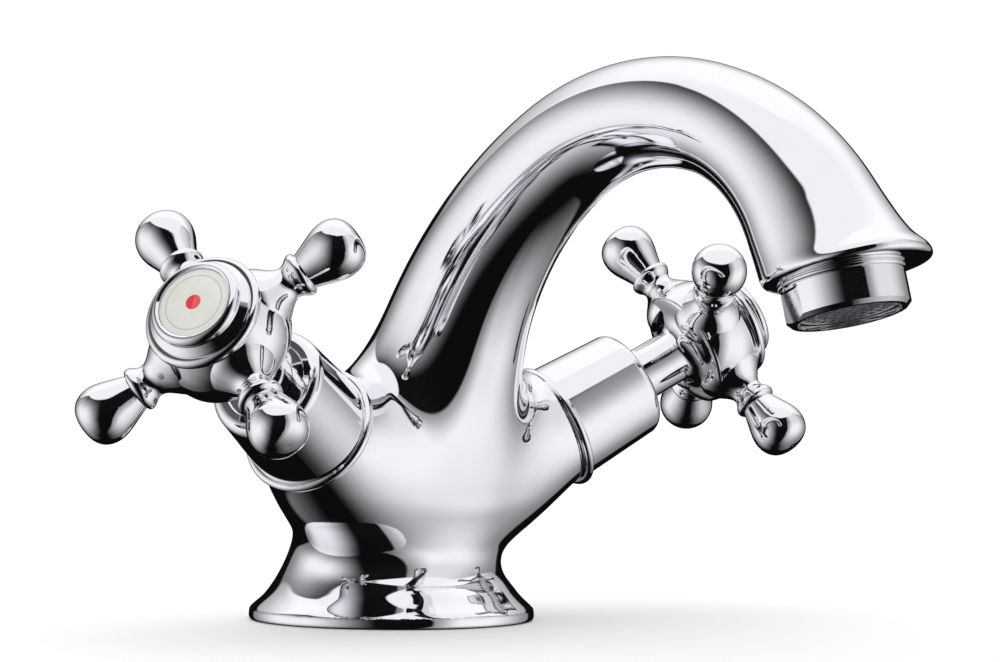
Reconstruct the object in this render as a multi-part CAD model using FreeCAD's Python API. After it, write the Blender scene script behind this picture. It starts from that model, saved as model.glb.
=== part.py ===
import FreeCAD, Part
import math
import os

# Two-handle basin mixer: one chromed brass casting with a swan-neck spout, two ceramic
# headworks under sleeves, two cross handles and an aerator. Millimetres, +Z up.
# Origin: centre of the round foot, on the basin deck. Spout towards -Y, hot side on -X.

Vector = FreeCAD.Vector

# ---------------------------------------------------------------- driving dimensions
FOOT_R = 30.6                   # radius of the round foot
FOOT_EDGE_H = 3.0               # height of the rounded edge band of the foot
THROAT_R = 21.2                 # narrowest radius of the column above the foot
THROAT_Z = 18.0

VALVE_CROSS_Z = 21.1            # both valve axes pass through (0, 0, VALVE_CROSS_Z)
VALVE_TILT = 28.0               # valve axes rise by this angle, degrees
VALVE_SPLAY = 20.3              # and swing towards the spout by this angle, degrees
HOT_SPOKE_ANGLE = 41.4          # first spoke, from the uphill direction, handle shut
COLD_SPOKE_ANGLE = 53.6

ARM_ROOT_R = 20.6               # valve arm of the casting, radius where it leaves the column
ARM_END_R = 13.0                # and at its outer end
ARM_END_S = 42.0                # distance along the valve axis to the end of the arm

RING_R = 14.25                  # trim ring behind the sleeve
RING_T = 2.1
SLEEVE_BASE_R = 13.0            # sleeve over the headwork, slightly tapered outwards
SLEEVE_R = 12.05
SLEEVE_END_S = 64.5
SLEEVE_EDGE = 2.2               # rounding of the outer edge of the sleeve
NECK_R = 5.87                   # neck of the handle, turning in the sleeve's end
SPOKE_S = 84.7                  # plane of the four spokes
HUB_R = 13.7
KNOB_R = 6.04
SPOKE_END = 32.9                # valve axis to the tip of a knob
INDEX_R = 7.45                  # index disc in the cap
CAP_R = 10.5                    # stepped cap that holds the index disc
HUB_FRONT_S = 93.5              # front face of the hub, under the cap

# Headwork, size 3/8 inch, ceramic, quarter turn
THREAD_R = 8.33                 # G3/8 outside radius
FIT = 0.05                      # radial play of turned fits and threads
SEAT_S = 20.8                   # valve seat in the casting
CHAMBER_R = 9.4                 # water chamber around the nose of the headwork
SHAFT_R = 3.95
HEX_FLATS = 17.0
BARREL_R = 7.0                  # threaded barrel that the sleeve screws onto
BARREL_END_S = 60.6
DISC_R = 6.40                   # ceramic discs
NOSE_R = 7.30

# Spout centreline: straight runs and arcs, as (length, turn in degrees), from the foot up.
# The path starts upright on the axis of the foot, SPOUT_START_Z below the deck.
SPOUT_START_Z = -5.0
SPOUT_RUNS = [
    (12.0, 0.0),                # upright foot
    (24.0, 24.0),               # bends towards the basin
    (34.5, 0.0),                # leaning column
    (48.0, 34.0),               # opening bend of the arch
    (42.0, 47.0),               # crown
    (34.0, 43.0),               # tighter bend down to the outlet
    (12.5, 0.0),                # straight end
]
SPOUT_STEP = 13.5               # distance between two cross sections
COLUMN_R = 20.6                 # radius of the column
NECK_MIN_R = 11.0               # slimmest part of the neck
TAPER_FROM_S = 35.0             # the column narrows between these places along the path
TAPER_TO_S = 162.0
TAPER_POWER = 2.2
BELL_GAIN_R = 3.3               # the neck widens by this much again before the rim
BELL_POWER = 1.4
FOOT_FLARE_POWER = 1.5          # how sharply the foot flares
OUTLET_Y = -124.2               # centre of the outlet's rim plane
OUTLET_Z = 72.2
OUTLET_TILT = 15.0              # outlet axis leans this far from straight down, degrees
RIM_R = 17.65                   # flared rim of the outlet
BELL_STATIONS = [               # flare of the outlet: (height above the rim plane, radius)
    (3.4, 15.60),
    (2.0, 17.00),
    (1.2, 17.60),
]
SPOUT_WALL = 3.4

# Aerator, female M22 x 1 housing
AERATOR_R = 12.0
AERATOR_DROP = 7.95             # rim plane to the bottom edge of the housing
FLAT_ANGLE = 155.0              # direction of the first spanner flat, from local X
NIPPLE_R = 10.95                # male M22 x 1 outlet nipple
NIPPLE_BORE_R = 9.6
INSERT_R = 9.5

INLET_X = 11.5                  # M10 x 1 inlets for the two supply hoses
INLET_Y = -4.0
INLET_R = 4.5
INLET_THREAD_L = 12.0
STUD_Y = 9.0                    # M8 hole for the fixing stud
STUD_R = 3.4
STUD_L = 14.0
GASKET_R_IN = 24.6
GASKET_R_OUT = 27.4
GASKET_H = 2.0

os.makedirs("parts", exist_ok=True)


# ---------------------------------------------------------------- small helpers
def revolve(points):
    """Solid of revolution about Z from a closed outline of (radius, height) points."""
    corners = [Vector(r, 0, h) for r, h in points]
    wire = Part.makePolygon(corners + [corners[0]])
    return Part.Face(wire).revolve(Vector(0, 0, 0), Vector(0, 0, 1), 360)


def revolve_path(pieces):
    """Solid of revolution about Z; pieces are ('line'|'arc'|'curve', points), end to end."""
    edges = []
    for kind, points in pieces:
        places = [Vector(r, 0, h) for r, h in points]
        if kind == "line":
            edges += [Part.LineSegment(a, b).toShape() for a, b in zip(places, places[1:])]
        elif kind == "arc":
            edges.append(Part.Arc(*places).toShape())
        else:
            spline = Part.BSplineCurve()
            spline.interpolate(places)
            edges.append(spline.toShape())
    wire = Part.Wire(edges)
    return Part.Face(wire).revolve(Vector(0, 0, 0), Vector(0, 0, 1), 360)


def tube(r_in, r_out, low, high):
    return revolve([(r_in, low), (r_out, low), (r_out, high), (r_in, high)])


def rod(r, low, high, at=(0, 0)):
    return Part.makeCylinder(r, high - low, Vector(at[0], at[1], low))


def rod_between(r, start, end):
    line = end - start
    return Part.makeCylinder(r, line.Length, start, line)


def hexagon(flats, low, high):
    corner_r = flats / math.sqrt(3)
    corners = [
        Vector(corner_r * math.cos(math.radians(60 * i)), corner_r * math.sin(math.radians(60 * i)), low)
        for i in range(7)
    ]
    return Part.Face(Part.makePolygon(corners)).extrude(Vector(0, 0, high - low))


def sector(r_in, r_out, start_deg, sweep_deg, low, high):
    """Part of a flat ring between two angles."""
    outer = Part.makeCylinder(r_out, high - low, Vector(0, 0, low), Vector(0, 0, 1), sweep_deg)
    inner = Part.makeCylinder(r_in, high - low, Vector(0, 0, low))
    piece = outer.cut(inner)
    piece.rotate(Vector(0, 0, 0), Vector(0, 0, 1), start_deg)
    return piece


def unit(direction):
    length = direction.Length
    return direction * (1.0 / length)


def valve_matrix(side):
    """Placement matrix of a valve: local Z along the valve axis, local X uphill."""
    tilt = math.radians(VALVE_TILT)
    splay = math.radians(VALVE_SPLAY)
    axis = Vector(
        side * math.cos(tilt) * math.cos(splay),
        -math.cos(tilt) * math.sin(splay),
        math.sin(tilt),
    )
    uphill = unit(Vector(0, 0, 1) - axis * axis.z)
    across = axis.cross(uphill)
    return FreeCAD.Matrix(
        uphill.x, across.x, axis.x, 0,
        uphill.y, across.y, axis.y, 0,
        uphill.z, across.z, axis.z, VALVE_CROSS_Z,
        0, 0, 0, 1,
    )


def outlet_matrix():
    """Placement matrix of the outlet: local Z up out of the spout, local X along +X."""
    lean = math.radians(OUTLET_TILT)
    up = Vector(0, math.sin(lean), math.cos(lean))
    across = up.cross(Vector(1, 0, 0))
    return FreeCAD.Matrix(
        1, across.x, up.x, 0,
        0, across.y, up.y, OUTLET_Y,
        0, across.z, up.z, OUTLET_Z,
        0, 0, 0, 1,
    )


def placed(shape, matrix):
    result = shape.copy()
    result.Placement = FreeCAD.Placement(matrix).multiply(result.Placement)
    return result


def save(name, shape):
    solids = shape.Solids
    result = solids[0] if len(solids) == 1 else Part.makeCompound(solids)
    if not result.isValid():
        raise ValueError(name + " is not a valid solid")
    result.exportStep("parts/" + name + ".step")
    print(name, len(solids), "solid(s)", round(result.Volume, 1), "mm3")


# ---------------------------------------------------------------- body casting
def spout_radius(s):
    """Outer radius of the column and neck at a distance along the path."""
    taper = min(max((s - TAPER_FROM_S) / (TAPER_TO_S - TAPER_FROM_S), 0), 1)
    full = sum(length for length, turn in SPOUT_RUNS) - TAPER_TO_S - 10.0
    bell = max(s - TAPER_TO_S, 0) / full
    return NECK_MIN_R + (COLUMN_R - NECK_MIN_R) * (1 - taper) ** TAPER_POWER + BELL_GAIN_R * bell**BELL_POWER


def spout_place(s):
    """Centre and direction of the path at a distance along it."""
    y, z, heading = 0.0, SPOUT_START_Z, 0.0
    for length, turn in SPOUT_RUNS:
        part = min(s, length)
        swing = math.radians(turn) * part / length
        chord = part if turn == 0 else 2 * part / swing * math.sin(swing / 2)
        y -= chord * math.sin(heading + swing / 2)
        z += chord * math.cos(heading + swing / 2)
        heading += swing
        s -= part
        if s <= 0:
            break
    return Vector(0, y, z), Vector(0, -math.sin(heading), math.cos(heading))


def spout_section(s, radius):
    """Circle of the given radius across the path."""
    centre, along = spout_place(s)
    return Part.Wire(Part.Circle(centre, along, radius).toShape())


SPOUT_SECTIONS_S = [THROAT_Z - SPOUT_START_Z + SPOUT_STEP * i for i in range(14)]


def outlet_section(height, radius):
    """Circle across the outlet axis, at a height above the rim plane."""
    matrix = outlet_matrix()
    centre = matrix.multVec(Vector(0, 0, height))
    down = matrix.multVec(Vector(0, 0, -1)) - matrix.multVec(Vector(0, 0, 0))
    return Part.Wire(Part.Circle(centre, down, radius).toShape())


def spout_outside():
    sections = [spout_section(s, spout_radius(s)) for s in SPOUT_SECTIONS_S]
    sections += [outlet_section(height, radius) for height, radius in BELL_STATIONS]
    neck = Part.makeLoft(sections, True)
    lip = placed(
        revolve_path([
            ("line", [(0, 1.25), (RIM_R - 0.03, 1.25)]),
            ("arc", [(RIM_R - 0.03, 1.25), (RIM_R - 0.45, 0.4), (RIM_R - 1.4, 0.0)]),
            ("line", [(RIM_R - 1.4, 0.0), (0, 0.0), (0, 1.25)]),
        ]),
        outlet_matrix(),
    )
    return neck.fuse(lip)


def foot():
    """Flared round foot, sweeping up into the throat of the column."""
    flare = []
    for i in range(5):
        down = 1 - i / 4
        flare.append((THROAT_R + (FOOT_R - 1.0 - THROAT_R) * down**FOOT_FLARE_POWER,
                      THROAT_Z - (THROAT_Z - FOOT_EDGE_H) * down))
    return revolve_path([
        ("line", [(0, 0), (FOOT_R - 0.7, 0)]),
        ("arc", [(FOOT_R - 0.7, 0), (FOOT_R - 0.1, 0.35), (FOOT_R, 1.1)]),
        ("arc", [(FOOT_R, 1.1), (FOOT_R - 0.25, 2.2), (FOOT_R - 1.0, FOOT_EDGE_H)]),
        ("curve", flare),
        ("line", [(THROAT_R, THROAT_Z), (0, THROAT_Z), (0, 0)]),
    ])


def arm_outside(side):
    shape = revolve_path([
        ("line", [(0, 4.0), (ARM_ROOT_R, 4.0)]),
        ("curve", [(ARM_ROOT_R, 4.0), (19.6, 12.0), (17.6, 20.0), (15.0, 28.0), (13.6, 35.0),
                   (ARM_END_R, ARM_END_S - 0.6)]),
        ("arc", [(ARM_END_R, ARM_END_S - 0.6), (ARM_END_R - 0.2, ARM_END_S - 0.2),
                 (ARM_END_R - 0.6, ARM_END_S)]),
        ("line", [(ARM_END_R - 0.6, ARM_END_S), (0, ARM_END_S), (0, 4.0)]),
    ])
    return placed(shape, valve_matrix(side))


def valve_hollow(side):
    """Inlet port, seat, water chamber and headwork thread of one arm."""
    shape = rod(4.3, 9.0, SEAT_S)
    shape = shape.fuse([
        rod(CHAMBER_R, SEAT_S, 31.5),
        rod(THREAD_R + FIT, 31.0, ARM_END_S + 1),
        rod(9.9, ARM_END_S - 1.7, ARM_END_S + 1),
    ])
    return placed(shape, valve_matrix(side))


def waterways():
    last = SPOUT_SECTIONS_S[-1]
    bore = Part.makeLoft(
        [spout_section(s, spout_radius(s) - SPOUT_WALL) for s in SPOUT_SECTIONS_S[3:-1]]
        + [spout_section(last, NIPPLE_BORE_R - 0.2), outlet_section(1.5, NIPPLE_BORE_R - 0.6)],
        True,
    )
    low = SPOUT_SECTIONS_S[3]
    centre = spout_place(low)[0]
    y, z = centre.y, centre.z
    dome = Part.makeSphere(spout_radius(low) - SPOUT_WALL - 0.05, centre)
    outlet = placed(rod(NIPPLE_BORE_R, -9.0, 3.0), outlet_matrix())
    pieces = [bore, dome, outlet]
    for side in (-1, 1):
        crossing = valve_matrix(side)
        chamber = crossing.multVec(Vector(4.0, 0, 26.0))
        mixing = Vector(side * 5.0, y + 3.0, z - 7.0)
        pieces.append(valve_hollow(side))
        pieces.append(rod_between(3.4, chamber, mixing))
        pieces.append(rod(INLET_R, -1, INLET_THREAD_L, (side * INLET_X, INLET_Y)))
        pieces.append(rod(3.5, INLET_THREAD_L - 1, 27.5, (side * INLET_X, INLET_Y)))
    pieces.append(rod(STUD_R, -1, STUD_L, (0, STUD_Y)))
    pieces.append(tube(GASKET_R_IN, GASKET_R_OUT, -1, GASKET_H))
    return pieces


def body_casting():
    outside = foot().fuse([spout_outside(), arm_outside(-1), arm_outside(1)]).removeSplitter()
    nipple = placed(rod(NIPPLE_R, -5.2, 1.0), outlet_matrix())
    recess = placed(tube(NIPPLE_R - 0.5, AERATOR_R + 0.6, -1.0, 1.6), outlet_matrix())
    return outside.cut(recess).fuse(nipple).cut(waterways())


# ---------------------------------------------------------------- headwork, local frame
def trim_ring():
    low = ARM_END_S
    high = ARM_END_S + RING_T
    inner = 10.25
    flat = RING_R - 1.0
    return revolve_path([
        ("line", [(inner, low), (flat, low)]),
        ("arc", [(flat, low), (RING_R, (low + high) / 2), (flat, high)]),
        ("line", [(flat, high), (inner, high), (inner, low)]),
    ])


def headwork_body():
    flange_r = 10.2
    shape = rod(NOSE_R, SEAT_S + 0.7, 32.0)
    shape = shape.fuse([
        rod(THREAD_R, 31.9, ARM_END_S),
        rod(flange_r, ARM_END_S, ARM_END_S + 2.0),
        hexagon(HEX_FLATS, ARM_END_S + 2.0, ARM_END_S + 8.0),
        rod(BARREL_R, ARM_END_S + 7.5, BARREL_END_S),
    ])
    o_ring_neck = tube(THREAD_R - 0.6, THREAD_R + 1, ARM_END_S - 1.7, ARM_END_S)
    shape = shape.cut([
        rod(DISC_R + FIT, SEAT_S, 31.65),
        rod(SHAFT_R + FIT, 31.0, BARREL_END_S + 1),
        o_ring_neck,
    ])
    for turn in (0, 180):
        shape = shape.cut(sector(DISC_R - 1, NOSE_R + 1, turn - 32, 64, 26.4, 30.6))
    return shape


def spindle():
    """Driving foot, shaft with two O-ring grooves, clip groove and splined head."""
    foot_r = DISC_R - 0.05
    shape = rod(foot_r, 28.85, 31.0).fuse(rod(SHAFT_R, 30.9, 85.6))
    for low in (35.0, 39.0):
        shape = shape.cut(tube(SHAFT_R - 1.0, SHAFT_R + 1, low, low + 1.5))
    shape = shape.cut(tube(SHAFT_R - 0.7, SHAFT_R + 1, 60.75, 61.45))
    teeth = 20
    groove = Part.makeBox(0.8, 0.62, 17.0, Vector(SHAFT_R - 0.35, -0.31, 69.0))
    cuts = []
    for i in range(teeth):
        tooth_gap = groove.copy()
        tooth_gap.rotate(Vector(0, 0, 0), Vector(0, 0, 1), 360.0 * i / teeth)
        cuts.append(tooth_gap)
    shape = shape.cut(cuts)
    shape = shape.cut(rod(2.5, 72.0, 86.0))
    for turn in (45, 225):
        shape = shape.cut(sector(1.8, DISC_R, turn, 90, 28.0, 30.0))
    return shape


def spindle_o_rings():
    rings = [tube(SHAFT_R - 0.97, SHAFT_R, low + 0.1, low + 1.4) for low in (35.0, 39.0)]
    return Part.makeCompound(rings)


def spindle_clip():
    ring = tube(SHAFT_R - 0.65, 5.4, 60.82, 61.40)
    gap = Part.makeBox(8, 3.2, 2, Vector(0, -1.6, 60.5))
    return ring.cut(gap)


def slip_washer():
    return tube(SHAFT_R + 0.2, DISC_R - 0.1, 31.06, 31.6)


def moving_disc():
    shape = rod(DISC_R - 0.05, 25.95, 28.80)
    for turn in (45, 225):
        shape = shape.cut(sector(1.8, 5.2, turn, 90, 25.0, 29.0))
    return shape


def fixed_disc():
    shape = rod(DISC_R, 23.0, 25.90)
    for turn in (-45, 135):
        shape = shape.cut(sector(1.8, 5.2, turn, 90, 22.0, 26.0))
    return shape


def seat_seal():
    """Rubber lip seal between the fixed disc and the seat."""
    return revolve([(5.3, SEAT_S), (6.2, SEAT_S), (DISC_R - 0.02, SEAT_S + 0.8),
                    (DISC_R - 0.02, 23.0), (5.2, 23.0)])


def headwork_o_ring():
    return revolve_path([
        ("arc", [(7.85, 41.15), (8.75, 40.32), (9.65, 41.15)]),
        ("arc", [(9.65, 41.15), (8.75, 41.98), (7.85, 41.15)]),
    ])


def sleeve():
    low = ARM_END_S + RING_T
    inner = 10.9
    return revolve_path([
        ("line", [(inner, low), (SLEEVE_BASE_R - 0.3, low), (SLEEVE_BASE_R, low + 0.3),
                  (SLEEVE_R, SLEEVE_END_S - SLEEVE_EDGE)]),
        ("arc", [(SLEEVE_R, SLEEVE_END_S - SLEEVE_EDGE),
                 (SLEEVE_R - SLEEVE_EDGE * 0.293, SLEEVE_END_S - SLEEVE_EDGE * 0.293),
                 (SLEEVE_R - SLEEVE_EDGE, SLEEVE_END_S)]),
        ("line", [(SLEEVE_R - SLEEVE_EDGE, SLEEVE_END_S), (8.6, SLEEVE_END_S), (8.3, SLEEVE_END_S - 0.5),
                  (NECK_R + 0.08, SLEEVE_END_S - 0.5), (NECK_R + 0.08, BARREL_END_S + 0.2),
                  (BARREL_R + FIT, BARREL_END_S + 0.2), (BARREL_R + FIT, 55.0), (inner, 55.0),
                  (inner, low)]),
    ])


# ---------------------------------------------------------------- cross handle, local frame
def hub_outside():
    """Neck, dished back, bulging body and front bead of the handle hub."""
    return revolve_path([
        ("line", [(0, 61.8), (NECK_R - 0.3, 61.8), (NECK_R, 62.1), (NECK_R, 75.6)]),
        ("curve", [(NECK_R, 75.6), (6.3, 77.3), (7.6, 78.5), (10.0, 79.0), (12.3, 79.2)]),
        ("arc", [(12.3, 79.2), (12.95, 79.5), (13.2, 80.1)]),
        ("curve", [(13.2, 80.1), (HUB_R - 0.1, 82.0), (HUB_R, 84.2), (13.2, 87.3), (11.9, 90.2),
                   (11.3, 91.2)]),
        ("arc", [(11.3, 91.2), (12.2, 92.35), (11.2, HUB_FRONT_S)]),
        ("line", [(11.2, HUB_FRONT_S), (0, HUB_FRONT_S), (0, 61.8)]),
    ])


def spoke():
    """One spoke with its rounded collar and pear-shaped knob, along local Z."""
    return revolve_path([
        ("line", [(0, 9.2), (7.4, 9.2)]),
        ("curve", [(7.4, 9.2), (6.9, 11.4), (5.4, 13.4), (4.05, 15.0), (3.45, 16.5), (3.65, 17.4),
                   (4.2, 18.2), (4.6, 19.0), (4.62, 19.6), (4.25, 20.1)]),
        ("line", [(4.25, 20.1), (3.8, 20.35)]),
        ("curve", [(3.8, 20.35), (4.35, 21.9), (5.1, 23.9), (5.75, 25.8), (KNOB_R, 27.9),
                   (5.65, 30.0), (4.35, 31.8), (2.2, 32.75), (0, SPOKE_END)]),
        ("line", [(0, SPOKE_END), (0, 9.2)]),
    ])


def cross_handle(first_angle):
    shape = hub_outside()
    arms = []
    for i in range(4):
        arm = spoke()
        arm.rotate(Vector(0, 0, 0), Vector(0, 1, 0), 90)
        arm.rotate(Vector(0, 0, 0), Vector(0, 0, 1), first_angle + 90 * i)
        arm.translate(Vector(0, 0, SPOKE_S))
        arms.append(arm)
    shape = shape.fuse(arms)
    return shape.cut([
        rod(SHAFT_R + FIT, 61.0, 85.9),
        rod(2.7, 85.0, 89.0),
        rod(8.1, 87.5, HUB_FRONT_S + 1),
    ])


def handle_screw():
    """Pan-head M5 screw that draws the handle onto the spindle."""
    head = revolve_path([
        ("line", [(0, 87.5), (4.2, 87.5), (4.2, 89.2)]),
        ("arc", [(4.2, 89.2), (3.6, 90.1), (2.4, 90.4)]),
        ("line", [(2.4, 90.4), (0, 90.4), (0, 87.5)]),
    ])
    slots = []
    for turn in (0, 90):
        slot = Part.makeBox(4.6, 1.1, 2.0, Vector(-2.3, -0.55, 88.9))
        slot.rotate(Vector(0, 0, 0), Vector(0, 0, 1), turn)
        slots.append(slot)
    return head.fuse(rod(2.45, 75.0, 87.6)).cut(slots)


def cap_ring():
    """Stepped cap: a threaded skirt in the hub, a sloped step and a rounded bezel."""
    return revolve_path([
        ("line", [(6.6, 88.8), (8.05, 88.8), (8.05, HUB_FRONT_S), (CAP_R - 0.2, HUB_FRONT_S),
                  (CAP_R, HUB_FRONT_S + 0.2), (CAP_R, HUB_FRONT_S + 0.5), (9.25, 95.0),
                  (9.15, 95.2)]),
        ("curve", [(9.15, 95.2), (9.3, 95.7), (9.05, 96.4), (8.5, 96.9), (7.95, 97.0)]),
        ("line", [(7.95, 97.0), (INDEX_R + 0.05, 96.75), (INDEX_R + 0.05, 95.3), (6.6, 95.3),
                  (6.6, 88.8)]),
    ])


def index_disc():
    """Slightly crowned enamelled disc."""
    crown_r = 90.0
    crown = Part.makeSphere(crown_r, Vector(0, 0, 96.7 - crown_r))
    return rod(INDEX_R, 95.3, 97.0).common(crown)


# ---------------------------------------------------------------- aerator, local frame
def aerator_housing():
    """Threaded ring with a top bead, two spanner flats and a chamfered lower edge."""
    bottom = -AERATOR_DROP
    shape = revolve_path([
        ("line", [(10.1, bottom), (11.2, bottom), (AERATOR_R, bottom + 0.8), (AERATOR_R, -1.25),
                  (AERATOR_R - 0.3, -1.15), (AERATOR_R + 0.1, -0.95)]),
        ("arc", [(AERATOR_R + 0.1, -0.95), (AERATOR_R + 0.4, -0.5), (AERATOR_R + 0.1, -0.05)]),
        ("line", [(AERATOR_R + 0.1, -0.05), (AERATOR_R, 0.9), (NIPPLE_R + FIT, 0.9),
                  (NIPPLE_R + FIT, bottom + 1.4), (10.1, bottom + 1.4), (10.1, bottom)]),
    ])
    for turn in (FLAT_ANGLE, FLAT_ANGLE + 180):
        flat = Part.makeBox(3, 14, AERATOR_DROP - 1.3, Vector(AERATOR_R - 0.65, -7, bottom - 0.4))
        flat.rotate(Vector(0, 0, 0), Vector(0, 0, 1), turn)
        shape = shape.cut(flat)
    return shape


def aerator_insert():
    """Plastic flow former with rings of outlet cells between thin radial ribs."""
    bottom = -AERATOR_DROP
    shape = rod(INSERT_R, bottom + 1.0, -2.2).fuse(rod(NIPPLE_R - 0.15, -6.4, -5.9))
    cells = [rod(1.1, bottom, -1, (0, 0))]
    for r_in, r_out, count in ((1.7, 3.6, 8), (4.1, 6.0, 16), (6.6, 8.7, 24)):
        pitch = 360 / count
        rib = math.degrees(0.4 / r_in)
        for i in range(count):
            cells.append(sector(r_in, r_out, i * pitch, pitch - rib, bottom, -1))
    return shape.cut(cells)


def aerator_gasket():
    return tube(NIPPLE_BORE_R + 0.1, NIPPLE_R, -5.9, -5.2)


# ---------------------------------------------------------------- write the parts
save("body_casting", body_casting())
save("base_gasket", tube(GASKET_R_IN + 0.05, GASKET_R_OUT - 0.05, 0, GASKET_H - 0.05))

VALVE_PARTS = [
    ("trim_ring", trim_ring),
    ("headwork_body", headwork_body),
    ("headwork_o_ring", headwork_o_ring),
    ("seat_seal", seat_seal),
    ("fixed_ceramic_disc", fixed_disc),
    ("moving_ceramic_disc", moving_disc),
    ("spindle", spindle),
    ("spindle_o_rings", spindle_o_rings),
    ("slip_washer", slip_washer),
    ("spindle_clip", spindle_clip),
    ("sleeve", sleeve),
    ("handle_screw", handle_screw),
    ("cap_ring", cap_ring),
    ("index_disc", index_disc),
]
for prefix, side, spoke_angle in (("hot", -1, HOT_SPOKE_ANGLE), ("cold", 1, COLD_SPOKE_ANGLE)):
    matrix = valve_matrix(side)
    for name, make in VALVE_PARTS:
        save(prefix + "_" + name, placed(make(), matrix))
    save(prefix + "_cross_handle", placed(cross_handle(spoke_angle), matrix))

outlet = outlet_matrix()
save("aerator_housing", placed(aerator_housing(), outlet))
save("aerator_insert", placed(aerator_insert(), outlet))
save("aerator_gasket", placed(aerator_gasket(), outlet))
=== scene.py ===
import math

import bmesh
import bpy
import numpy as np
from mathutils import Matrix, Vector


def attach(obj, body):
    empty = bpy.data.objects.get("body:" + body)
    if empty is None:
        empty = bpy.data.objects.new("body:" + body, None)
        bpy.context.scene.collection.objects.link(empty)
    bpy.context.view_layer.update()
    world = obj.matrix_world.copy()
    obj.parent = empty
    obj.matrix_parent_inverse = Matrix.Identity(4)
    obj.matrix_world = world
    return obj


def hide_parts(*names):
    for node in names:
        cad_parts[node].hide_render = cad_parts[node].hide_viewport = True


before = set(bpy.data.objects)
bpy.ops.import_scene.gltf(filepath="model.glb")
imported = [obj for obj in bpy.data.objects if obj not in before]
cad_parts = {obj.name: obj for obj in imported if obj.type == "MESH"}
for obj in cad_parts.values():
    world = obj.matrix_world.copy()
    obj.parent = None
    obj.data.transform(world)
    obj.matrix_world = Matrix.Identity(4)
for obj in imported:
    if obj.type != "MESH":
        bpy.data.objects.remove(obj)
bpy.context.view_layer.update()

MM = 0.001

# ---------------------------------------------------------------- dimensions, mm
VALVE_TILT = 28.0
VALVE_SPLAY = 20.3
VALVE_CROSS_Z = 21.1
ARM_END_S = 42.0
OUTLET_Y, OUTLET_Z, OUTLET_TILT = -124.2, 72.2, 15.0
INDEX_S = 96.7
GASKET_R_IN, GASKET_R_OUT, GASKET_H = 24.6, 27.4, 2.0
INLET_X, INLET_Y, INLET_R, INLET_DEPTH = 11.5, -4.0, 4.5, 12.0
STUD_Y, STUD_R, STUD_DEPTH = 9.0, 3.4, 14.0
BORE_CHAMFER = 0.4

# path of the foot, column and spout: straight runs and arcs, as (length, turn in degrees)
PATH_START_Z = -5.0
PATH_RUNS = [
    (12.0, 0.0),    # upright foot
    (24.0, 24.0),   # bends towards the basin
    (34.5, 0.0),    # leaning column
    (48.0, 34.0),   # opening bend of the arch
    (42.0, 47.0),   # crown
    (34.0, 43.0),   # tighter bend down to the outlet
    (12.5, 0.0),    # straight end
]
PATH_PAST_END = 6.0
# outer radius along it: flared foot, column, slimmest neck and bell
FOOT_TOP_R, FOOT_TOP_Z, FOOT_POWER, FOOT_FLARE_MAX = 29.75, 3.0, 1.75, 1.05
WAIST_R, WAIST_Z = 19.5, 20.5
NECK_MIN_R, TAPER_FROM_S, TAPER_TO_S, TAPER_POWER = 11.0, 38.0, 162.0, 2.2
BELL_GAIN_R, BELL_END_S, BELL_POWER = 2.9, 197.0, 1.4
LIP_GAIN_R, LIP_REACH = 0.7, 3.0
# valve arms and the fillet between them and the column
ARM_END_R, ARM_SWELL_R, ARM_SWELL_FROM_S, ARM_SWELL_POWER = 13.0, 2.7, 3.0, 1.3
ARM_LIFT, ARM_LIFT_FROM_S, ARM_LIFT_OVER = 0.3, 18.0, 24.0
ARM_END_EDGE = 1.5
FILLET_LOW, FILLET_HIGH, FILLET_LOW_Z, FILLET_HIGH_Z = 18.0, 25.0, 16.0, 42.0
ARMS_FILLET = 6.0
RIM_EDGE = 3.6
SHELL_LOW, SHELL_HIGH = (-46, -146, 1.9), (46, 34, 120)
SHELL_CELL, QUICK_SHELL_CELL = 0.6, 0.9


# ---------------------------------------------------------------- numeric helpers
class Spline:
    """Natural cubic spline through rows of values at increasing parameters."""

    def __init__(self, at, values):
        self.at = np.asarray(at, float)
        self.values = np.asarray(values, float).reshape(len(at), -1)
        n = len(self.at)
        gap = np.diff(self.at)
        system = np.eye(n)
        right = np.zeros_like(self.values)
        for i in range(1, n - 1):
            system[i, i - 1] = gap[i - 1]
            system[i, i] = 2 * (gap[i - 1] + gap[i])
            system[i, i + 1] = gap[i]
            right[i] = 6 * (
                (self.values[i + 1] - self.values[i]) / gap[i]
                - (self.values[i] - self.values[i - 1]) / gap[i - 1]
            )
        self.bend = np.linalg.solve(system, right)

    def __call__(self, t, order=0):
        """Value, slope or curvature at each parameter."""
        t = np.clip(t, self.at[0], self.at[-1])
        i = np.clip(np.searchsorted(self.at, t, side="right") - 1, 0, len(self.at) - 2)
        gap = (self.at[i + 1] - self.at[i])[:, None]
        a = (self.at[i + 1][:, None] - t[:, None]) / gap
        b = 1 - a
        low, high = self.values[i], self.values[i + 1]
        bend_low, bend_high = self.bend[i], self.bend[i + 1]
        if order == 2:
            return a * bend_low + b * bend_high
        if order == 1:
            slope = (high - low) / gap
            return slope + gap / 6 * ((3 * b * b - 1) * bend_high - (3 * a * a - 1) * bend_low)
        cubic = ((a**3 - a) * bend_low + (b**3 - b) * bend_high) * gap**2 / 6
        return a * low + b * high + cubic


def smooth_min(a, b, k):
    """Smaller of two distances, with a rounded transition of width k."""
    h = np.maximum(k - np.abs(a - b), 0) / k
    return np.minimum(a, b) - h**3 * k / 6


def smooth_max(a, b, k):
    return -smooth_min(-a, -b, k)


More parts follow.
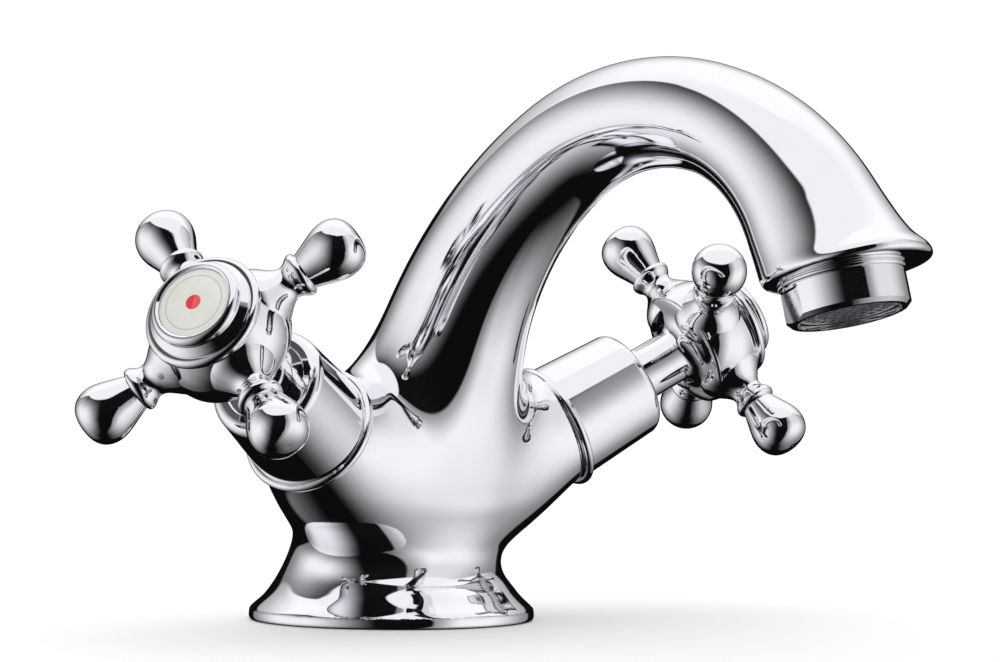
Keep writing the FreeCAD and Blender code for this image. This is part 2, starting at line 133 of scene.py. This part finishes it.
def surface_nets(distance, low, high, cell):
    """Quads over the zero surface of a distance function, one vertex per crossed cell."""
    counts = [int(math.ceil((high[i] - low[i]) / cell)) + 1 for i in range(3)]
    axes = [low[i] + cell * np.arange(counts[i]) for i in range(3)]
    field = np.empty(counts, np.float32)
    grid_y, grid_z = np.meshgrid(axes[1], axes[2], indexing="ij")
    for i, x in enumerate(axes[0]):
        points = np.stack([np.full(grid_y.size, x), grid_y.ravel(), grid_z.ravel()], 1)
        field[i] = distance(points).reshape(grid_y.shape)
    inside = field < 0
    corners = [(i, j, k) for i in (0, 1) for j in (0, 1) for k in (0, 1)]
    shape = [n - 1 for n in counts]

    def corner(array, offset):
        return array[offset[0]:offset[0] + shape[0], offset[1]:offset[1] + shape[1],
                     offset[2]:offset[2] + shape[2]]

    total = sum(corner(inside, c).astype(np.int8) for c in corners)
    active = (total > 0) & (total < 8)
    index = np.full(shape, -1, np.int64)
    index[active] = np.arange(active.sum())
    cells = np.argwhere(active)
    position = np.zeros((len(cells), 3))
    hits = np.zeros(len(cells))
    for a in corners:
        for axis in range(3):
            if a[axis] == 1:
                continue
            b = tuple(1 if n == axis else a[n] for n in range(3))
            fa = corner(field, a)[active].astype(float)
            fb = corner(field, b)[active].astype(float)
            crossed = (fa < 0) != (fb < 0)
            share = np.where(crossed, fa / np.where(crossed, fa - fb, 1), 0)
            place = np.array(a, float) + share[:, None] * (np.array(b) - np.array(a))
            position += place * crossed[:, None]
            hits += crossed
    vertices = np.array(low) + cell * (cells + position / hits[:, None])
    quads = []
    for axis in range(3):
        u, v = (axis + 1) % 3, (axis + 2) % 3
        head = [slice(None)] * 3
        tail = [slice(None)] * 3
        head[axis], tail[axis] = slice(0, -1), slice(1, None)
        change = inside[tuple(head)] != inside[tuple(tail)]
        where = np.argwhere(change)
        keep = (where[:, u] > 0) & (where[:, v] > 0)
        keep &= (where[:, u] < counts[u] - 1) & (where[:, v] < counts[v] - 1)
        where = where[keep]
        ring = []
        for du, dv in ((-1, -1), (0, -1), (0, 0), (-1, 0)):
            cell_at = where.copy()
            cell_at[:, u] += du
            cell_at[:, v] += dv
            ring.append(index[tuple(cell_at.T)])
        ring = np.stack(ring, 1)
        solid_first = inside[tuple(where.T)]
        ring[~solid_first] = ring[~solid_first][:, ::-1]
        quads.append(ring)
    return vertices, np.concatenate(quads)


def gradient(distance, points, step=0.02):
    slopes = []
    for axis in range(3):
        shift = np.zeros(3)
        shift[axis] = step
        slopes.append((distance(points + shift) - distance(points - shift)) / (2 * step))
    return np.stack(slopes, 1)


def settle(distance, points, faces, rounds=3, relax=2):
    """Spreads the vertices evenly along the surface and brings them onto it."""
    edges = np.concatenate([faces[:, [i, (i + 1) % 4]] for i in range(4)])
    edges = np.concatenate([edges, edges[:, ::-1]])
    degree = np.bincount(edges[:, 0], minlength=len(points)).astype(float)[:, None]
    for turn in range(rounds):
        slope = gradient(distance, points)
        steep = (slope * slope).sum(1)
        points = points - slope * (distance(points) / np.maximum(steep, 0.05))[:, None]
        if turn < relax:
            total = np.zeros_like(points)
            np.add.at(total, edges[:, 0], points[edges[:, 1]])
            points = points + 0.5 * (total / degree - points)
    slope = gradient(distance, points)
    steep = (slope * slope).sum(1)
    points = points - slope * (distance(points) / np.maximum(steep, 0.05))[:, None]
    normals = gradient(distance, points)
    return points, normals / np.linalg.norm(normals, axis=1)[:, None]


def mesh_object(name, points, faces, normals=None):
    """Object from points in mm; sets exact normals when they are given."""
    mesh = bpy.data.meshes.new(name)
    mesh.from_pydata((np.asarray(points) * MM).tolist(), [], np.asarray(faces).tolist())
    mesh.validate()
    mesh.polygons.foreach_set("use_smooth", [True] * len(mesh.polygons))
    if normals is not None:
        mesh.normals_split_custom_set_from_vertices(np.asarray(normals).tolist())
    mesh.update()
    result = bpy.data.objects.new(name, mesh)
    bpy.context.scene.collection.objects.link(result)
    return result


def valve_axes(side):
    """Columns: uphill, across and along a valve axis."""
    tilt, splay = math.radians(VALVE_TILT), math.radians(VALVE_SPLAY)
    along = np.array([side * math.cos(tilt) * math.cos(splay),
                      -math.cos(tilt) * math.sin(splay), math.sin(tilt)])
    uphill = np.array([0, 0, 1.0]) - along * along[2]
    uphill /= np.linalg.norm(uphill)
    return np.stack([uphill, np.cross(along, uphill), along], 1)


VALVE_CENTRE = np.array([0, 0, VALVE_CROSS_Z])
SIDES = {"hot": -1, "cold": 1}


def outlet_axes():
    lean = math.radians(OUTLET_TILT)
    up = np.array([0, math.sin(lean), math.cos(lean)])
    return np.stack([[1, 0, 0], np.cross(up, [1, 0, 0]), up], 1)


OUTLET_CENTRE = np.array([0, OUTLET_Y, OUTLET_Z])


# ---------------------------------------------------------------- body casting
def path_place(s):
    """(y, z) of the path at a distance along it."""
    y, z, heading = 0.0, PATH_START_Z, 0.0
    for index, (length, turn) in enumerate(PATH_RUNS):
        last = index == len(PATH_RUNS) - 1
        part = s if last else min(s, length)
        swing = math.radians(turn) * part / length
        chord = part if swing == 0 else 2 * part / swing * math.sin(swing / 2)
        y -= chord * math.sin(heading + swing / 2)
        z += chord * math.cos(heading + swing / 2)
        heading += swing
        s -= part
        if s <= 0:
            break
    return y, z


def outer_radius(s, length):
    """Outer radius at a distance along the path, from the foot's edge to the rim."""
    flare = max((WAIST_Z - PATH_START_Z - s) / (WAIST_Z - FOOT_TOP_Z), 0.0)
    foot = (FOOT_TOP_R - WAIST_R) * min(flare, FOOT_FLARE_MAX) ** FOOT_POWER
    taper = min(max((s - TAPER_FROM_S) / (TAPER_TO_S - TAPER_FROM_S), 0.0), 1.0)
    neck = NECK_MIN_R + (WAIST_R - NECK_MIN_R) * (1 - taper) ** TAPER_POWER
    bell = BELL_GAIN_R * (max(s - TAPER_TO_S, 0.0) / (BELL_END_S - TAPER_TO_S)) ** BELL_POWER
    lip = LIP_GAIN_R * math.exp(min((s - length) / LIP_REACH, 1.0))
    return neck + foot + bell + lip


class Body:
    """Distance to the outside of the casting: foot, column, spout and two valve arms."""

    def __init__(self):
        length = sum(run for run, turn in PATH_RUNS)
        along = np.linspace(0, length + PATH_PAST_END, 90)
        self.path = Spline(along, [path_place(s) for s in along])
        self.radius = Spline(along, [outer_radius(s, length) for s in along])
        self.samples = np.linspace(0, along[-1], 900)
        self.sample_places = self.path(self.samples)
        # first guess of the nearest station, on a coarse grid in the spout's plane
        self.guess_step = 1.0
        self.guess_low = np.array([-175.0, -15.0])
        count = (220, 150)
        ys = self.guess_low[0] + self.guess_step * np.arange(count[0])
        zs = self.guess_low[1] + self.guess_step * np.arange(count[1])
        grid = np.stack(np.meshgrid(ys, zs, indexing="ij"), -1).reshape(-1, 2)
        nearest = np.empty(len(grid))
        for start in range(0, len(grid), 4000):
            part = grid[start:start + 4000]
            gap = ((part[:, None] - self.sample_places[None]) ** 2).sum(-1)
            nearest[start:start + 4000] = self.samples[gap.argmin(1)]
        self.guess = nearest.reshape(count)

    def column(self, points):
        flat = points[:, 1:3]
        cell = np.rint((flat - self.guess_low) / self.guess_step).astype(int)
        cell = np.clip(cell, 0, np.array(self.guess.shape) - 1)
        t = self.guess[cell[:, 0], cell[:, 1]]
        for _ in range(4):
            place, pace, turn = self.path(t), self.path(t, 1), self.path(t, 2)
            offset = flat - place
            grip = (pace * pace).sum(1) - (offset * turn).sum(1)
            t = t + (offset * pace).sum(1) / np.maximum(grip, 0.15)
            t = np.clip(t, self.samples[0], self.samples[-1])
        place, pace = self.path(t), self.path(t, 1)
        offset = flat - place
        across = np.sqrt(points[:, 0] ** 2 + (offset**2).sum(1))
        slope = self.radius(t, 1)[:, 0] / np.linalg.norm(pace, axis=1)
        return (across - self.radius(t)[:, 0]) / np.sqrt(1 + slope**2)

    def arm(self, points, side):
        local = (points - VALVE_CENTRE) @ valve_axes(side)
        s = local[:, 2]
        lift = ARM_LIFT * np.clip((s - ARM_LIFT_FROM_S) / ARM_LIFT_OVER, 0, 1) ** 2
        across = np.hypot(local[:, 0] - lift, local[:, 1])
        swell_length = ARM_END_S - ARM_SWELL_FROM_S
        phase = np.pi * np.clip((s - ARM_SWELL_FROM_S) / swell_length, 0, 1)
        radius = ARM_END_R + ARM_SWELL_R * np.sin(phase) ** ARM_SWELL_POWER
        round_root = np.sqrt(across**2 + s**2) - radius
        barrel = np.where(s < 0, round_root, across - radius)
        return smooth_max(barrel, s - ARM_END_S, ARM_END_EDGE)

    def __call__(self, points):
        column = self.column(points)
        arms = smooth_min(self.arm(points, -1), self.arm(points, 1), ARMS_FILLET)
        rise = np.clip((points[:, 2] - FILLET_LOW_Z) / (FILLET_HIGH_Z - FILLET_LOW_Z), 0, 1)
        rise = rise * rise * (3 - 2 * rise)
        width = FILLET_LOW + (FILLET_HIGH - FILLET_LOW) * rise
        solid = smooth_min(column, arms, width)
        local = (points - OUTLET_CENTRE) @ outlet_axes()
        below_rim = np.where(points[:, 1] < -95, -local[:, 2], -50.0)
        return smooth_max(solid, below_rim, RIM_EDGE)


def body_casting():
    body = Body()
    cell = SHELL_CELL
    points, faces = surface_nets(body, SHELL_LOW, SHELL_HIGH, cell)
    points, normals = settle(body, points, faces)
    piece = mesh_object("body_casting_shell", points, faces, normals)
    return piece


def lathe(name, rows, count=160):
    """Mesh turned about a vertical line from rows of (radius, height)."""
    mesh = bpy.data.meshes.new(name)
    points, faces, last = [], [], None
    for row in rows:
        start = len(points)
        for i in range(count):
            angle = 2 * math.pi * i / count
            points.append((row[0] * math.cos(angle) * MM, row[0] * math.sin(angle) * MM, row[1] * MM))
        if last is not None:
            for i in range(count):
                j = (i + 1) % count
                faces.append((last + i, last + j, start + j, start + i))
        last = start
    mesh.from_pydata(points, [], faces)
    mesh.polygons.foreach_set("use_smooth", [True] * len(faces))
    mesh.set_sharp_from_angle(angle=math.radians(38))
    piece = bpy.data.objects.new(name, mesh)
    bpy.context.scene.collection.objects.link(piece)
    return piece


def casting_piece(piece):
    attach(piece, "mixer_body")
    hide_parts("body_casting")
    return piece


def foot_edge():
    """Rounded edge band of the foot, its flat underside and the gasket groove."""
    return casting_piece(lathe("foot_edge", [
        (GASKET_R_IN, 0.0), (GASKET_R_IN, GASKET_H), (GASKET_R_OUT, GASKET_H), (GASKET_R_OUT, 0.0),
        (29.75, 0.0), (30.05, 0.05), (30.3, 0.18), (30.48, 0.4), (30.57, 0.7), (30.6, 1.05),
        (30.6, 1.5), (30.56, 1.9), (30.46, 2.25), (30.32, 2.5), (30.15, 2.64), (29.95, 2.7),
        (29.2, 2.7),
    ]))


def foot_underside():
    """Flat underside inside the gasket groove, with the two inlets and the stud hole."""
    bores = [(-INLET_X, INLET_Y, INLET_R, INLET_DEPTH), (INLET_X, INLET_Y, INLET_R, INLET_DEPTH),
             (0.0, STUD_Y, STUD_R, STUD_DEPTH)]
    form = bmesh.new()
    edges = []

    def ring(x, y, radius, height, count):
        verts = []
        for i in range(count):
            angle = 2 * math.pi * i / count
            verts.append(form.verts.new(((x + radius * math.cos(angle)) * MM,
                                         (y + radius * math.sin(angle)) * MM, height * MM)))
        return verts

    def loop(verts):
        return [form.edges.new((verts[i], verts[(i + 1) % len(verts)])) for i in range(len(verts))]

    edges += loop(ring(0, 0, GASKET_R_IN, 0.0, 160))
    for x, y, radius, depth in bores:
        mouth = ring(x, y, radius + BORE_CHAMFER, 0.0, 48)
        edges += loop(mouth)
        last = mouth
        for step_r, step_z in ((radius, BORE_CHAMFER), (radius, depth), (0.2, depth + 0.8)):
            wall = ring(x, y, step_r, step_z, 48)
            for i in range(48):
                j = (i + 1) % 48
                form.faces.new((last[i], last[j], wall[j], wall[i]))
            last = wall
        form.faces.new(last)
    bmesh.ops.triangle_fill(form, use_beauty=True, edges=edges)
    mesh = bpy.data.meshes.new("foot_underside")
    form.to_mesh(mesh)
    form.free()
    mesh.polygons.foreach_set("use_smooth", [True] * len(mesh.polygons))
    mesh.set_sharp_from_angle(angle=math.radians(38))
    piece = bpy.data.objects.new("foot_underside", mesh)
    bpy.context.scene.collection.objects.link(piece)
    return casting_piece(piece)


body_shell = casting_piece(body_casting())
foot_parts = [foot_edge(), foot_underside()]


# ---------------------------------------------------------------- materials
class Nodes:
    """Small helper that adds and links shader nodes."""

    def __init__(self, tree):
        self.tree = tree
        tree.nodes.clear()

    def add(self, kind, inputs=None, **settings):
        node = self.tree.nodes.new("ShaderNode" + kind)
        for key, value in settings.items():
            setattr(node, key, value)
        for key, value in (inputs or {}).items():
            if isinstance(value, bpy.types.NodeSocket):
                self.tree.links.new(value, node.inputs[key])
            else:
                node.inputs[key].default_value = value
        return node

    def noise(self, scale, detail=3.0, rough=0.5, vector=None):
        inputs = {"Scale": scale, "Detail": detail, "Roughness": rough}
        if vector is not None:
            inputs["Vector"] = vector
        return self.add("TexNoise", inputs).outputs["Fac"]

    def spread(self, value, low, high, start=0.3, end=0.7):
        node = self.add("MapRange", {"Value": value, "From Min": start, "From Max": end,
                                     "To Min": low, "To Max": high})
        return node.outputs["Result"]

    def calc(self, operation, a, b=0.0):
        return self.add("Math", {0: a, 1: b}, operation=operation).outputs[0]

    def smooth(self, value, start, end):
        """0 below start, 1 above end, with an eased step between."""
        node = self.add("MapRange", {"Value": value, "From Min": start, "From Max": end},
                        interpolation_type="SMOOTHSTEP")
        return node.outputs["Result"]

    def less(self, value):
        return self.calc("SUBTRACT", 1.0, value)

    def scaled(self, value, gain, base=0.0):
        return self.calc("ADD", self.calc("MULTIPLY", value, gain), base)

    def times(self, *values):
        result = values[0]
        for value in values[1:]:
            result = self.calc("MULTIPLY", result, value)
        return result

    def mix(self, factor, a, b):
        node = self.add("Mix", data_type="RGBA")
        for key, value in ((0, factor), (6, a), (7, b)):
            if isinstance(value, bpy.types.NodeSocket):
                self.tree.links.new(value, node.inputs[key])
            else:
                node.inputs[key].default_value = value
        return node.outputs[2]


def new_material(name):
    material = bpy.data.materials.new(name)
    material.use_nodes = True
    nodes = Nodes(material.node_tree)
    place = nodes.add("TexCoord").outputs["Object"]
    return material, nodes, place


def close_material(nodes, shader):
    nodes.add("OutputMaterial", {"Surface": shader.outputs[0]})


def chrome(name, shade=(0.925, 0.925, 0.95), gloss=0.03, wave=0.02, pit=0.0):
    """Plated chrome: faint orange peel, a thin film of wipe marks, and a cool tint."""
    material, nodes, place = new_material(name)
    film = nodes.noise(90.0, 4.0, 0.6, place)
    tint = nodes.mix(nodes.spread(film, 0.0, 1.0), (*[c * 0.97 for c in shade], 1), (*shade, 1))
    fine = nodes.noise(1400.0, 2.0, 0.5, place)
    rough = nodes.add("Math", {0: nodes.spread(film, gloss * 0.75, gloss * 1.5),
                               1: nodes.spread(fine, 0.0, gloss * 0.5)}, operation="ADD")
    swell = nodes.noise(55.0, 1.5, 0.4, place)
    height = nodes.add("Math", {0: swell, 1: nodes.spread(fine, 0.0, pit)}, operation="ADD")
    bump = nodes.add("Bump", {"Strength": wave, "Distance": 0.0006, "Height": height.outputs[0]})
    shader = nodes.add("BsdfPrincipled", {"Base Color": tint, "Metallic": 1.0,
                                          "Roughness": rough.outputs[0],
                                          "Normal": bump.outputs[0]})
    close_material(nodes, shader)
    return material


def brushed_metal(name, dark, light, rough, turn_scale):
    """Turned brass or steel: fine tool rings, uneven oxide and a satin gloss."""
    material, nodes, place = new_material(name)
    stretch = nodes.add("Mapping", {"Vector": place, "Scale": (1.0, 1.0, turn_scale)})
    rings = nodes.noise(260.0, 3.0, 0.6, stretch.outputs[0])
    cloud = nodes.noise(70.0, 4.0, 0.6, place)
    colour = nodes.mix(nodes.spread(cloud, 0.0, 1.0), (*dark, 1), (*light, 1))
    bump = nodes.add("Bump", {"Strength": 0.25, "Distance": 0.0001, "Height": rings})
    shader = nodes.add("BsdfPrincipled", {"Base Color": colour, "Metallic": 1.0,
                                          "Roughness": nodes.spread(rings, rough * 0.8, rough * 1.3),
                                          "Normal": bump.outputs[0]})
    close_material(nodes, shader)
    return material


def moulded(name, dark, light, rough, grain, sheen=0.0, through=0.0):
    """Rubber or plastic: soft mottling, moulding grain and a dull gloss."""
    material, nodes, place = new_material(name)
    cloud = nodes.noise(120.0, 4.0, 0.6, place)
    fine = nodes.noise(grain, 2.0, 0.6, place)
    colour = nodes.mix(nodes.spread(cloud, 0.0, 1.0), (*dark, 1), (*light, 1))
    bump = nodes.add("Bump", {"Strength": 0.3, "Distance": 0.00008, "Height": fine})
    shader = nodes.add("BsdfPrincipled", {"Base Color": colour,
                                          "Roughness": nodes.spread(cloud, rough * 0.85, rough * 1.15),
                                          "Normal": bump.outputs[0], "Sheen Weight": sheen,
                                          "Subsurface Weight": through,
                                          "Subsurface Scale": 0.002})
    close_material(nodes, shader)
    return material


def ceramic(name):
    """Lapped alumina: nearly white, very smooth, with faint grey clouding."""
    material, nodes, place = new_material(name)
    cloud = nodes.noise(150.0, 3.0, 0.6, place)
    colour = nodes.mix(nodes.spread(cloud, 0.0, 1.0), (0.78, 0.78, 0.75, 1), (0.88, 0.87, 0.84, 1))
    shader = nodes.add("BsdfPrincipled", {"Base Color": colour, "Coat Weight": 0.3,
                                          "Roughness": nodes.spread(cloud, 0.22, 0.34)})
    close_material(nodes, shader)
    return material


def enamel(name, dot, axes, centre):
    """Ivory enamel with a fine printed ring and one coloured dot, under a clear glaze."""
    material, nodes, place = new_material(name)
    offset = nodes.add("VectorMath", {0: place, 1: tuple(np.array(centre) * MM)}, operation="SUBTRACT")

    def along(axis):
        node = nodes.add("VectorMath", {0: offset.outputs[0], 1: tuple(axis)}, operation="DOT_PRODUCT")
        return node.outputs["Value"]

    flat = nodes.add("CombineXYZ", {0: along(axes[:, 0]), 1: along(axes[:, 1])})
    away = nodes.add("VectorMath", {0: flat.outputs[0]}, operation="LENGTH").outputs["Value"]
    cloud = nodes.noise(180.0, 3.0, 0.6, place)
    base = nodes.mix(nodes.spread(cloud, 0.0, 1.0), (0.64, 0.625, 0.59, 1), (0.70, 0.685, 0.65, 1))

    def band(low, high, soft=0.00008):
        inner = nodes.add("MapRange", {"Value": away, "From Min": low - soft, "From Max": low + soft,
                                       "To Min": 0.0, "To Max": 1.0}).outputs[0]
        outer = nodes.add("MapRange", {"Value": away, "From Min": high - soft, "From Max": high + soft,
                                       "To Min": 1.0, "To Max": 0.0}).outputs[0]
        return nodes.add("Math", {0: inner, 1: outer}, operation="MULTIPLY").outputs[0]

    ringed = nodes.mix(band(0.00585, 0.00605), base, (0.42, 0.40, 0.38, 1))
    dotted = nodes.mix(band(-0.001, 0.0016), ringed, (*dot, 1))
    shader = nodes.add("BsdfPrincipled", {"Base Color": dotted, "Roughness": nodes.spread(cloud, 0.25, 0.4),
                                          "Coat Weight": 0.8, "Coat Roughness": 0.06})
    close_material(nodes, shader)
    return material


def floor_material():
    material, nodes, place = new_material("pale_floor")
    cloud = nodes.noise(3.0, 3.0, 0.5, place)
    colour = nodes.mix(nodes.spread(cloud, 0.0, 1.0), (0.93, 0.93, 0.93, 1), (0.95, 0.95, 0.95, 1))
    shader = nodes.add("BsdfPrincipled", {"Base Color": colour, "Roughness": 0.7,
                                          "Specular IOR Level": 0.1})
    close_material(nodes, shader)
    return material


def dress(item, material):
    """Gives a piece or a carried-over CAD node its material."""
    item.data.materials.clear()
    item.data.materials.append(material)


chrome_body = chrome("chrome_body", wave=0.02)
chrome_trim = chrome("chrome_trim", gloss=0.03, wave=0.01)
chrome_handle = chrome("chrome_handle", gloss=0.028, wave=0.012)
brass = brushed_metal("turned_brass", (0.60, 0.42, 0.17), (0.78, 0.58, 0.28), 0.3, 30.0)
steel = brushed_metal("screw_steel", (0.48, 0.48, 0.49), (0.62, 0.62, 0.62), 0.26, 20.0)
rubber = moulded("black_rubber", (0.012, 0.012, 0.013), (0.03, 0.03, 0.03), 0.62, 900.0, 0.2)
flow_plastic = moulded("flow_plastic", (0.085, 0.09, 0.10), (0.15, 0.155, 0.17), 0.28, 700.0)
slip_plastic = moulded("slip_plastic", (0.82, 0.82, 0.80), (0.90, 0.90, 0.88), 0.4, 700.0, 0.0, 0.1)
valve_ceramic = ceramic("valve_ceramic")
INDEX_CENTRE = {name: VALVE_CENTRE + valve_axes(side)[:, 2] * INDEX_S for name, side in SIDES.items()}
index_enamel = {
    "hot": enamel("hot_enamel", (0.62, 0.03, 0.03), valve_axes(-1), INDEX_CENTRE["hot"]),
    "cold": enamel("cold_enamel", (0.03, 0.10, 0.50), valve_axes(1), INDEX_CENTRE["cold"]),
}

for made in (body_shell, *foot_parts):
    dress(made, chrome_body)
NODE_LOOKS = {
    "base_gasket": rubber, "aerator_housing": chrome_trim, "aerator_insert": flow_plastic,
    "aerator_gasket": rubber, "body_casting": chrome_body,
}
VALVE_LOOKS = {
    "trim_ring": chrome_trim, "headwork_body": brass, "headwork_o_ring": rubber,
    "seat_seal": rubber, "fixed_ceramic_disc": valve_ceramic,
    "moving_ceramic_disc": valve_ceramic, "spindle": brass, "spindle_o_rings": rubber,
    "slip_washer": slip_plastic, "spindle_clip": steel, "sleeve": chrome_trim,
    "handle_screw": steel, "cap_ring": chrome_handle, "cross_handle": chrome_handle,
}
for valve in SIDES:
    for part, look in VALVE_LOOKS.items():
        NODE_LOOKS[f"{valve}_{part}"] = look
    NODE_LOOKS[f"{valve}_index_disc"] = index_enamel[valve]
for node_name, look in NODE_LOOKS.items():
    dress(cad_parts[node_name], look)

# ---------------------------------------------------------------- floor, camera and light
FLOOR_R = 6.0
FLOOR_Z = -0.00005
CAMERA_PLACE = (-0.494114, -0.533171, 0.055802)
CAMERA_YAW, CAMERA_PITCH, CAMERA_ROLL = 44.621, 0.492, 0.469
CAMERA_LENS, CAMERA_SENSOR = 121.68, 36.0

# Light seen in the chrome. Bearings run from 0 on the camera's side to 180 behind the part,
# left negative; heights are above the horizon. Degrees.
BACK_EDGE, BACK_SOFT = 148.0, 143.0
LEFT_GLOW, LEFT_FULL, LEFT_BACK_SHARE = 0.98, 98.0, 0.28
LEFT_FADE_FROM, LEFT_FADE_TO, LEFT_TOP = -75.0, -8.0, 57.0
RIGHT_GLOW, RIGHT_EDGE, RIGHT_EDGE_SOFT, RIGHT_RISE, RIGHT_EDGE_SHARE = 1.0, 36.0, 2.0, 26.0, 0.35
RIGHT_FADE_FROM, RIGHT_BACK_LOSS, RIGHT_TOP_LOSS, RIGHT_TOP = 85.0, 0.72, 0.2, 30.0
OVERHEAD_EDGE, OVERHEAD_DROP, OVERHEAD_SOFT = 50.0, 33.0, 1.5
OVERHEAD_DROP_FROM, OVERHEAD_DROP_TO = 95.0, 145.0
DARK_GLOW, ROOM_GLOW, BACKDROP_GLOW = 0.004, 1.2, 1.02

floor_mesh = bpy.data.meshes.new("pale_floor")
sweep = bmesh.new()
bmesh.ops.create_circle(sweep, cap_ends=True, radius=FLOOR_R, segments=96)
sweep.to_mesh(floor_mesh)
sweep.free()
floor = bpy.data.objects.new("pale_floor", floor_mesh)
floor_mesh.materials.append(floor_material())
floor.location.z = FLOOR_Z
bpy.context.scene.collection.objects.link(floor)

camera_data = bpy.data.cameras.new("camera")
camera_data.lens = CAMERA_LENS
camera_data.sensor_width = CAMERA_SENSOR
camera_data.clip_start = 0.01
camera_data.clip_end = 50.0
camera = bpy.data.objects.new("camera", camera_data)
bpy.context.scene.collection.objects.link(camera)
yaw, pitch, roll = (math.radians(a) for a in (CAMERA_YAW, CAMERA_PITCH, CAMERA_ROLL))
forward = Vector((math.sin(yaw) * math.cos(pitch), math.cos(yaw) * math.cos(pitch), math.sin(pitch)))
right = forward.cross(Vector((0, 0, 1))).normalized()
up = right.cross(forward)
axis_x = right * math.cos(roll) + up * math.sin(roll)
axis_y = up * math.cos(roll) - right * math.sin(roll)
turn = Matrix((axis_x, axis_y, -forward)).transposed().to_4x4()
camera.matrix_world = Matrix.Translation(CAMERA_PLACE) @ turn
bpy.context.scene.camera = camera
bpy.context.scene.view_settings.view_transform = "Standard"

world = bpy.data.worlds.new("studio")
bpy.context.scene.world = world
world.use_nodes = True
sky = Nodes(world.node_tree)
ray = sky.add("LightPath")
direction = sky.add("TexCoord").outputs["Generated"]
STUDIO_RIGHT = (math.cos(yaw), -math.sin(yaw), 0.0)
STUDIO_FRONT = (-math.sin(yaw), -math.cos(yaw), 0.0)
aside = sky.add("VectorMath", {0: direction, 1: STUDIO_RIGHT}, operation="DOT_PRODUCT")
ahead = sky.add("VectorMath", {0: direction, 1: STUDIO_FRONT}, operation="DOT_PRODUCT")
aloft = sky.add("SeparateXYZ", {0: direction}).outputs["Z"]
bearing = sky.calc("DEGREES", sky.calc("ARCTAN2", aside.outputs["Value"], ahead.outputs["Value"]))
lift = sky.calc("DEGREES", sky.calc("ARCSINE", aloft))
drop = sky.calc("MULTIPLY", lift, -1.0)
swing = sky.calc("ABSOLUTE", bearing)

# large softbox on the left, fading towards the front, the ceiling and the floor
left_box = sky.times(
    LEFT_GLOW,
    sky.smooth(bearing, -BACK_EDGE, -BACK_SOFT),
    sky.scaled(sky.smooth(bearing, -BACK_SOFT, -LEFT_FULL), 1.0 - LEFT_BACK_SHARE, LEFT_BACK_SHARE),
    sky.less(sky.smooth(bearing, LEFT_FADE_FROM, LEFT_FADE_TO)),
    sky.less(sky.smooth(lift, 0.0, LEFT_TOP)),
    sky.less(sky.smooth(drop, 5.0, 80.0)),
)
# large softbox on the right, with a crisp near edge
right_box = sky.times(
    RIGHT_GLOW,
    sky.smooth(bearing, RIGHT_EDGE - RIGHT_EDGE_SOFT, RIGHT_EDGE + RIGHT_EDGE_SOFT),
    sky.scaled(sky.smooth(bearing, RIGHT_EDGE, RIGHT_EDGE + RIGHT_RISE),
               1.0 - RIGHT_EDGE_SHARE, RIGHT_EDGE_SHARE),
    sky.scaled(sky.smooth(bearing, RIGHT_FADE_FROM, BACK_SOFT), -RIGHT_BACK_LOSS, 1.0),
    sky.less(sky.smooth(bearing, BACK_SOFT, BACK_EDGE)),
    sky.scaled(sky.smooth(lift, 0.0, RIGHT_TOP), -RIGHT_TOP_LOSS, 1.0),
    sky.less(sky.smooth(drop, 12.0, 82.0)),
)
# overhead diffuser, reaching lower behind the part than in front of it
dropping = sky.smooth(swing, OVERHEAD_DROP_FROM, OVERHEAD_DROP_TO)
lower_edge = sky.scaled(dropping, -OVERHEAD_DROP, OVERHEAD_EDGE)
behind = sky.smooth(swing, 112.0, 135.0)
overhead = sky.smooth(lift, sky.calc("ADD", lower_edge, -OVERHEAD_SOFT),
                      sky.calc("ADD", lower_edge, OVERHEAD_SOFT))
overhead_glow = sky.times(
    sky.scaled(sky.smooth(swing, 90.0, 135.0), 0.12, 0.98),
    sky.less(sky.times(behind, sky.less(sky.scaled(sky.smooth(lift, 15.0, 50.0), 0.6, 0.4)))),
)
boxes = sky.calc("MAXIMUM", sky.calc("MAXIMUM", left_box, right_box), DARK_GLOW)
walls = sky.calc("MULTIPLY", boxes, sky.less(overhead))
lamps = sky.calc("ADD", walls, sky.calc("MULTIPLY", overhead, overhead_glow))

# mirrors see the lamps, matt surfaces an even room, the camera a white backdrop
room = sky.add("Background", {"Color": (1.0, 1.0, 1.0, 1), "Strength": ROOM_GLOW})
boxed = sky.add("Background", {"Color": (0.975, 0.97, 1.0, 1), "Strength": lamps})
backdrop = sky.add("Background", {"Color": (1, 1, 1, 1), "Strength": BACKDROP_GLOW})
lit = sky.add("MixShader", {0: ray.outputs["Is Glossy Ray"], 1: room.outputs[0], 2: boxed.outputs[0]})
shown = sky.add("MixShader", {0: ray.outputs["Is Camera Ray"], 1: lit.outputs[0], 2: backdrop.outputs[0]})
sky.add("OutputWorld", {"Surface": shown.outputs[0]})
# the chrome doesn't mirror the floor
floor.visible_glossy = False
